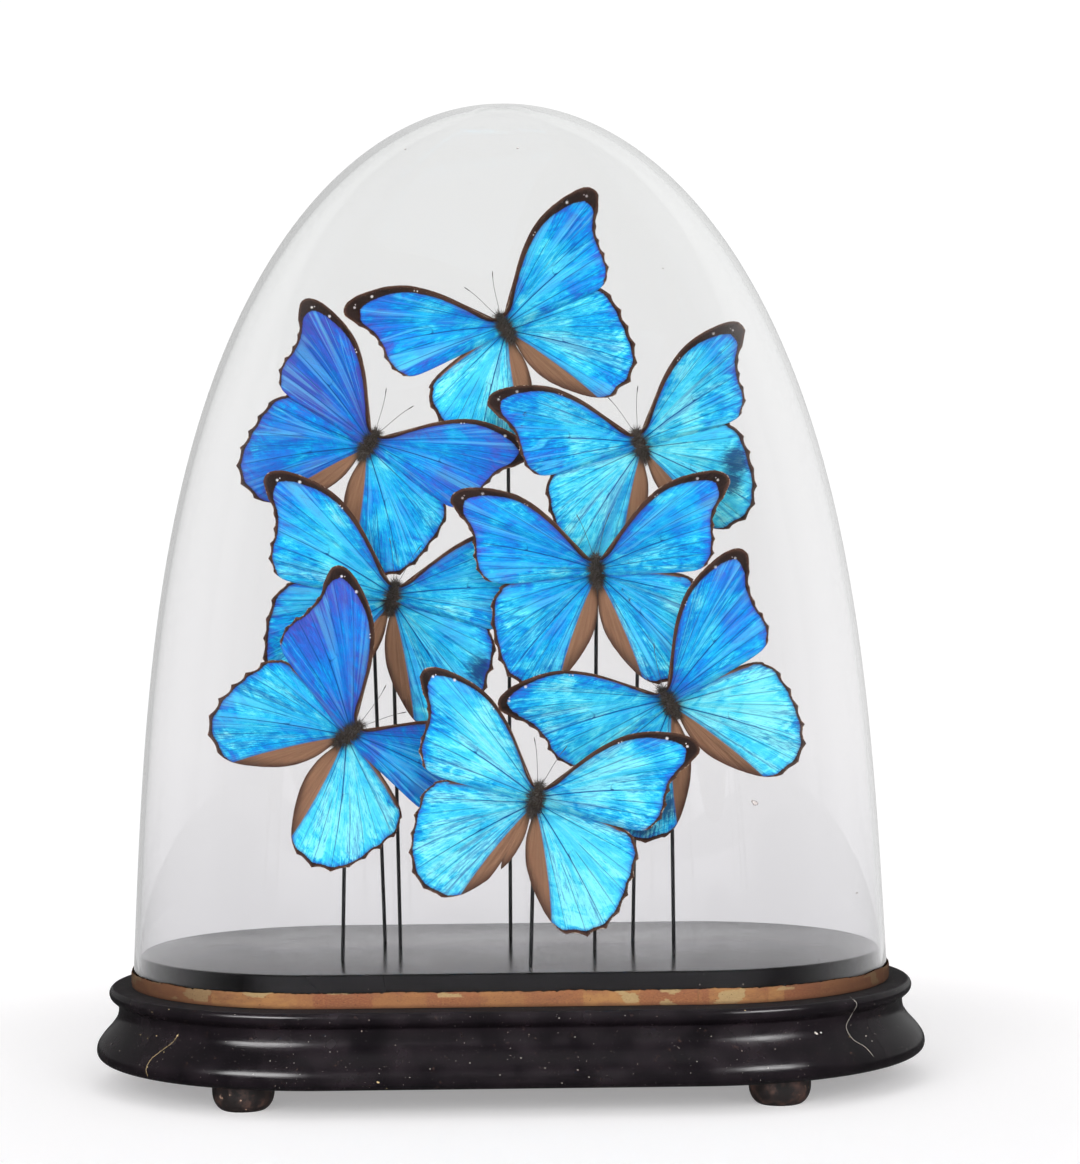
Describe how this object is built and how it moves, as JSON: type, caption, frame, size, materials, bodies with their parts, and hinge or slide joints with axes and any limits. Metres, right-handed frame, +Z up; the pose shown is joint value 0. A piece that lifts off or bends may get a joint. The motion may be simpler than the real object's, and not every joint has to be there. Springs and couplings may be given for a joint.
{
  "type": "insect in glass dome",
  "caption": "Oval glass dome over blue morpho butterflies mounted on thin upright rods, standing on a moulded ebonised wooden base with bun feet.",
  "frame": {"origin": "middle of the base on the surface that the feet stand on", "axes": "+Z up through the dome's apex, X along the oval base's wide side, -Y towards the viewer that the butterflies face"},
  "size_m": [0.399, 0.228, 0.469],
  "materials": {
    "ebonised_wood": "glossy black polish, chipped",
    "polished_board": "glossy black polish",
    "foot_wood": "satin black, worn brown",
    "clear_glass": "clear blown glass",
    "paper_strip": "matte brown paper, torn",
    "black_rod": "black lacquered wire",
    "morpho_wing": "iridescent blue scales with black-brown margins"
  },
  "bodies": {
    "root": {"moulding_front": "ebonised_wood", "moulding_back": "ebonised_wood", "moulding_left_end": "ebonised_wood", "moulding_right_end": "ebonised_wood", "display_board": "polished_board", "glass_dome": "clear_glass", "foot_band": "paper_strip", "foot_front_left": "foot_wood", "foot_front_right": "foot_wood", "foot_back_left": "foot_wood", "foot_back_right": "foot_wood", "rod_1": "black_rod", "rod_2": "black_rod", "rod_3": "black_rod", "rod_4": "black_rod", "rod_5": "black_rod", "rod_6": "black_rod", "rod_7": "black_rod", "rod_8": "black_rod", "butterfly_1": "morpho_wing", "butterfly_2": "morpho_wing", "butterfly_3": "morpho_wing", "butterfly_4": "morpho_wing", "butterfly_5": "morpho_wing", "butterfly_6": "morpho_wing", "butterfly_7": "morpho_wing", "butterfly_8": "morpho_wing"}
  },
  "joints": []
}
